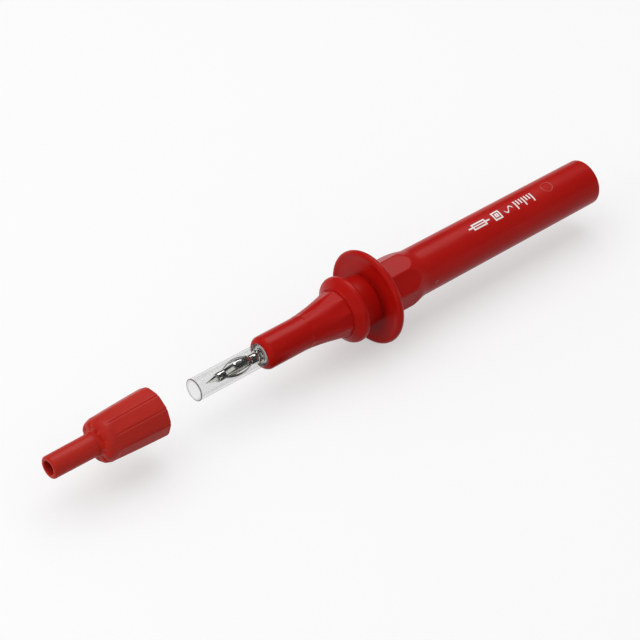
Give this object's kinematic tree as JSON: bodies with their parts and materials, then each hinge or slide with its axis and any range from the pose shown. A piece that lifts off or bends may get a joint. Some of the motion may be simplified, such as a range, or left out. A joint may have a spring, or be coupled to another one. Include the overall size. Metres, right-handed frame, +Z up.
{
  "type": "fused test probe",
  "caption": "Slim insulated test probe with an octagonal grip, finger guard, clear sprung sleeve over a lantern-spring tip, internal cartridge fuse and a push-on tip cap.",
  "frame": {"origin": "centre of the footprint, on the surface that the finger guard's rim touches, with the probe's axis level", "axes": "+X along the probe's axis from the tip cap to the lead end, +Z up"},
  "size_m": [0.1878, 0.0268, 0.0268],
  "materials": {
    "red_plastic": "satin moulded nylon, deep red",
    "soft_red_plastic": "matt flexible moulding, slightly lighter red",
    "clear_plastic": "clear polycarbonate, polished",
    "plated_brass": "nickel-plated brass, bright",
    "brass": "turned brass",
    "spring_steel": "drawn spring wire",
    "ceramic": "unglazed white ceramic"
  },
  "bodies": {
    "handle": {"handle_shell": "red_plastic", "rear_contact": "brass", "socket_tube": "plated_brass", "socket_insulator": "red_plastic", "contact_spring": "spring_steel"},
    "fuse": {"fuse_tube": "ceramic", "fuse_wire": "plated_brass", "fuse_cap_front": "plated_brass", "fuse_cap_rear": "plated_brass", "contact_plunger": "brass"},
    "nose": {"nose_shell": "red_plastic", "tip_needle": "plated_brass", "spring_cage": "plated_brass", "pin_body": "plated_brass", "retaining_nut": "brass", "front_contact": "brass", "spring_washer": "spring_steel", "sleeve_spring": "spring_steel"},
    "sleeve": {"clear_sleeve": "clear_plastic"},
    "cap": {"tip_cap": "soft_red_plastic"}
  },
  "joints": [
    {"name": "nose_advance", "type": "slide", "parent": "handle", "child": "fuse", "axis": [-1, 0, 0], "range_m": [0, 0.0075], "deforming": ["contact_spring"]},
    {"name": "nose_turn", "type": "hinge", "parent": "fuse", "child": "nose", "pos_m": [0.00995, 0, 0.0134], "axis": [-1, 0, 0], "range_deg": [0, 1800]},
    {"name": "sleeve_slide", "type": "slide", "parent": "nose", "child": "sleeve", "axis": [1, 0, 0], "range_m": [0, 0.0215], "stiffness_N_per_m": 60, "springref_m": -0.012, "deforming": ["sleeve_spring"]},
    {"name": "cap_slide", "type": "slide", "parent": "sleeve", "child": "cap", "axis": [1, 0, 0], "range_m": [0, 0.0298]}
  ],
  "couplings": [
    {"joint": "nose_turn", "follows": "nose_advance", "rad_per_m": 4188.8}
  ]
}
